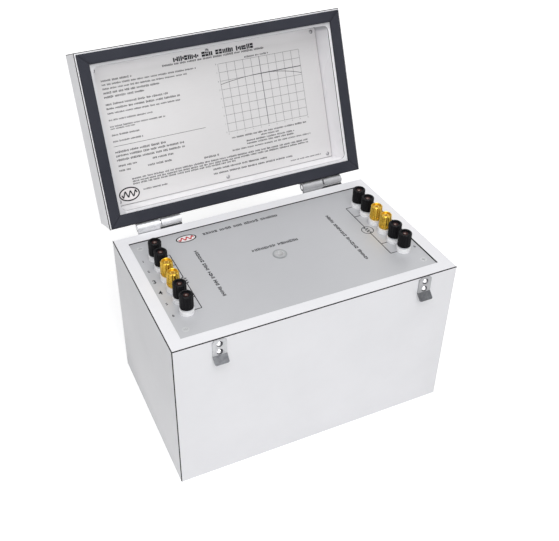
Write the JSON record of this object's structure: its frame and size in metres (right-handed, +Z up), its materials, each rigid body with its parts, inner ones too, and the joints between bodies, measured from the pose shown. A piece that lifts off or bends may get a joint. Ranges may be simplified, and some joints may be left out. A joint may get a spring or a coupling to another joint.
{
  "type": "standard resistor",
  "caption": "Bench reference resistor in a white laminated case with a hinged gasketed lid, a recessed panel, rows of screw binding posts and a thermometer well.",
  "frame": {"origin": "centre of the case's underside, where it stands on the bench", "axes": "+X to the right seen from the front, +Y to the back where the hinges are, +Z up along the posts"},
  "size_m": [0.317, 0.3261, 0.3765],
  "materials": {
    "board": "matte",
    "laminate": "satin",
    "panel": "satin",
    "steel": "satin",
    "gold": "polished",
    "black_plastic": "satin",
    "collar": "satin",
    "foam_seal": "matte",
    "foam": "matte",
    "can": "satin",
    "mica": "satin",
    "copper": "satin",
    "label": "satin"
  },
  "bodies": {
    "case": {"case_boards": "board", "bottom_board": "board", "front_laminate": "laminate", "back_laminate": "laminate", "end_laminates": "laminate", "rim_laminate": "laminate", "panel_cleats": "board", "instrument_panel": "panel", "panel_screws": "steel", "well_grommet": "collar", "well_tube": "steel", "post_studs": "gold", "post_insulators": "collar", "post_nuts": "steel", "solder_lugs": "gold", "resistor_can": "can", "can_cover": "can", "resistor_cards": "mica", "temperature_sensor": "collar", "can_standoffs": "steel", "foam_cradle": "foam", "lead_wires": "copper", "hinge_case_leaves": "steel", "hinge_pins": "steel", "case_leaf_screws": "steel", "strike_plates": "steel", "strike_rivets": "steel"},
    "lid": {"lid_top_board": "board", "lid_rails": "board", "lid_laminates": "laminate", "lid_rim_laminate": "laminate", "lid_liner": "laminate", "gasket": "foam_seal", "label_plate": "label", "lid_screws": "steel", "hinge_lid_leaves": "steel"},
    "clamp_left_1": {"clamp_left_1": "steel"},
    "knob_left_1": {"knob_left_1": "black_plastic"},
    "clamp_left_2": {"clamp_left_2": "steel"},
    "knob_left_2": {"knob_left_2": "black_plastic"},
    "clamp_left_3": {"clamp_left_3": "gold"},
    "knob_left_3": {"knob_left_3": "gold"},
    "clamp_left_4": {"clamp_left_4": "gold"},
    "knob_left_4": {"knob_left_4": "gold"},
    "clamp_left_5": {"clamp_left_5": "steel"},
    "knob_left_5": {"knob_left_5": "black_plastic"},
    "clamp_left_6": {"clamp_left_6": "steel"},
    "knob_left_6": {"knob_left_6": "black_plastic"},
    "clamp_right_1": {"clamp_right_1": "steel"},
    "knob_right_1": {"knob_right_1": "black_plastic"},
    "clamp_right_2": {"clamp_right_2": "steel"},
    "knob_right_2": {"knob_right_2": "black_plastic"},
    "clamp_right_3": {"clamp_right_3": "gold"},
    "knob_right_3": {"knob_right_3": "gold"},
    "clamp_right_4": {"clamp_right_4": "gold"},
    "knob_right_4": {"knob_right_4": "gold"},
    "clamp_right_5": {"clamp_right_5": "steel"},
    "knob_right_5": {"knob_right_5": "black_plastic"},
    "clamp_right_6": {"clamp_right_6": "steel"},
    "knob_right_6": {"knob_right_6": "black_plastic"}
  },
  "joints": [
    {"name": "lid_hinge", "type": "hinge", "parent": "case", "child": "lid", "pos_m": [0, 0.1021, 0.1918], "axis": [1, 0, 0], "range_deg": [0, 112.5]},
    {"name": "post_left_1_rise", "type": "slide", "parent": "case", "child": "clamp_left_1", "axis": [0, 0, 1], "range_m": [0, 0.00453]},
    {"name": "post_left_1_turn", "type": "hinge", "parent": "clamp_left_1", "child": "knob_left_1", "pos_m": [-0.1246, 0.04763, 0.197], "axis": [0, 0, 1], "range_deg": [0, 1800]},
    {"name": "post_left_2_rise", "type": "slide", "parent": "case", "child": "clamp_left_2", "axis": [0, 0, 1], "range_m": [0, 0.00453]},
    {"name": "post_left_2_turn", "type": "hinge", "parent": "clamp_left_2", "child": "knob_left_2", "pos_m": [-0.1246, 0.02857, 0.197], "axis": [0, 0, 1], "range_deg": [0, 1800]},
    {"name": "post_left_3_rise", "type": "slide", "parent": "case", "child": "clamp_left_3", "axis": [0, 0, 1], "range_m": [0, 0.00453]},
    {"name": "post_left_3_turn", "type": "hinge", "parent": "clamp_left_3", "child": "knob_left_3", "pos_m": [-0.1246, 0.00953, 0.197], "axis": [0, 0, 1], "range_deg": [0, 1800]},
    {"name": "post_left_4_rise", "type": "slide", "parent": "case", "child": "clamp_left_4", "axis": [0, 0, 1], "range_m": [0, 0.00453]},
    {"name": "post_left_4_turn", "type": "hinge", "parent": "clamp_left_4", "child": "knob_left_4", "pos_m": [-0.1246, -0.00953, 0.197], "axis": [0, 0, 1], "range_deg": [0, 1800]},
    {"name": "post_left_5_rise", "type": "slide", "parent": "case", "child": "clamp_left_5", "axis": [0, 0, 1], "range_m": [0, 0.00453]},
    {"name": "post_left_5_turn", "type": "hinge", "parent": "clamp_left_5", "child": "knob_left_5", "pos_m": [-0.1246, -0.02857, 0.197], "axis": [0, 0, 1], "range_deg": [0, 1800]},
    {"name": "post_left_6_rise", "type": "slide", "parent": "case", "child": "clamp_left_6", "axis": [0, 0, 1], "range_m": [0, 0.00453]},
    {"name": "post_left_6_turn", "type": "hinge", "parent": "clamp_left_6", "child": "knob_left_6", "pos_m": [-0.1246, -0.04763, 0.197], "axis": [0, 0, 1], "range_deg": [0, 1800]},
    {"name": "post_right_1_rise", "type": "slide", "parent": "case", "child": "clamp_right_1", "axis": [0, 0, 1], "range_m": [0, 0.00453]},
    {"name": "post_right_1_turn", "type": "hinge", "parent": "clamp_right_1", "child": "knob_right_1", "pos_m": [0.1246, 0.04763, 0.197], "axis": [0, 0, 1], "range_deg": [0, 1800]},
    {"name": "post_right_2_rise", "type": "slide", "parent": "case", "child": "clamp_right_2", "axis": [0, 0, 1], "range_m": [0, 0.00453]},
    {"name": "post_right_2_turn", "type": "hinge", "parent": "clamp_right_2", "child": "knob_right_2", "pos_m": [0.1246, 0.02857, 0.197], "axis": [0, 0, 1], "range_deg": [0, 1800]},
    {"name": "post_right_3_rise", "type": "slide", "parent": "case", "child": "clamp_right_3", "axis": [0, 0, 1], "range_m": [0, 0.00453]},
    {"name": "post_right_3_turn", "type": "hinge", "parent": "clamp_right_3", "child": "knob_right_3", "pos_m": [0.1246, 0.00953, 0.197], "axis": [0, 0, 1], "range_deg": [0, 1800]},
    {"name": "post_right_4_rise", "type": "slide", "parent": "case", "child": "clamp_right_4", "axis": [0, 0, 1], "range_m": [0, 0.00453]},
    {"name": "post_right_4_turn", "type": "hinge", "parent": "clamp_right_4", "child": "knob_right_4", "pos_m": [0.1246, -0.00953, 0.197], "axis": [0, 0, 1], "range_deg": [0, 1800]},
    {"name": "post_right_5_rise", "type": "slide", "parent": "case", "child": "clamp_right_5", "axis": [0, 0, 1], "range_m": [0, 0.00453]},
    {"name": "post_right_5_turn", "type": "hinge", "parent": "clamp_right_5", "child": "knob_right_5", "pos_m": [0.1246, -0.02857, 0.197], "axis": [0, 0, 1], "range_deg": [0, 1800]},
    {"name": "post_right_6_rise", "type": "slide", "parent": "case", "child": "clamp_right_6", "axis": [0, 0, 1], "range_m": [0, 0.00453]},
    {"name": "post_right_6_turn", "type": "hinge", "parent": "clamp_right_6", "child": "knob_right_6", "pos_m": [0.1246, -0.04763, 0.197], "axis": [0, 0, 1], "range_deg": [0, 1800]}
  ],
  "couplings": [
    {"joint": "post_left_1_turn", "follows": "post_left_1_rise", "rad_per_m": 6926.3},
    {"joint": "post_left_2_turn", "follows": "post_left_2_rise", "rad_per_m": 6926.3},
    {"joint": "post_left_3_turn", "follows": "post_left_3_rise", "rad_per_m": 6926.3},
    {"joint": "post_left_4_turn", "follows": "post_left_4_rise", "rad_per_m": 6926.3},
    {"joint": "post_left_5_turn", "follows": "post_left_5_rise", "rad_per_m": 6926.3},
    {"joint": "post_left_6_turn", "follows": "post_left_6_rise", "rad_per_m": 6926.3},
    {"joint": "post_right_1_turn", "follows": "post_right_1_rise", "rad_per_m": 6926.3},
    {"joint": "post_right_2_turn", "follows": "post_right_2_rise", "rad_per_m": 6926.3},
    {"joint": "post_right_3_turn", "follows": "post_right_3_rise", "rad_per_m": 6926.3},
    {"joint": "post_right_4_turn", "follows": "post_right_4_rise", "rad_per_m": 6926.3},
    {"joint": "post_right_5_turn", "follows": "post_right_5_rise", "rad_per_m": 6926.3},
    {"joint": "post_right_6_turn", "follows": "post_right_6_rise", "rad_per_m": 6926.3}
  ]
}
